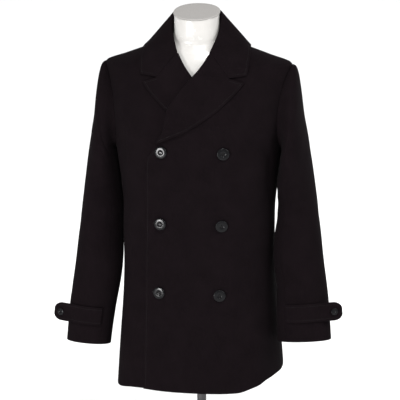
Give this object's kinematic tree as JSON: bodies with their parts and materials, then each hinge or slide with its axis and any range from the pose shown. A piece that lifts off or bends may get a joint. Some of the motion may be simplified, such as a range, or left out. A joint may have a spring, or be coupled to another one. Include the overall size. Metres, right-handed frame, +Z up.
{
  "type": "double-breasted pea coat on a dress form stand",
  "caption": "Double-breasted wool coat with wide collar, notched lapels and strapped cuffs, worn by a limbless dress form on a round-based stand.",
  "frame": {"origin": "centre of the stand's round base at the floor", "axes": "+Z up along the pole, -Y to the coat's front, +X to the wearer's left"},
  "size_m": [0.7016, 0.309, 1.1033],
  "materials": {
    "wool": "black brushed wool melton",
    "button": "dark polished horn look, four holes, raised rim",
    "form": "glossy off-white shell",
    "neck_cap": "flat grey cloth cover",
    "stand": "dark satin"
  },
  "bodies": {
    "root": {"back": "wool", "front_left": "wool", "front_right": "wool", "lapel_left": "wool", "lapel_right": "wool", "collar_stand": "wool", "collar_fall": "wool", "sleeve_top_left": "wool", "sleeve_under_left": "wool", "strap_left": "wool", "sleeve_top_right": "wool", "sleeve_under_right": "wool", "strap_right": "wool", "button_left_1": "button", "button_right_1": "button", "button_left_2": "button", "button_right_2": "button", "button_left_3": "button", "button_right_3": "button", "cuff_button_left": "button", "cuff_button_right": "button", "form": "form", "neck_cap": "neck_cap", "pole": "stand", "base": "stand"}
  },
  "joints": []
}
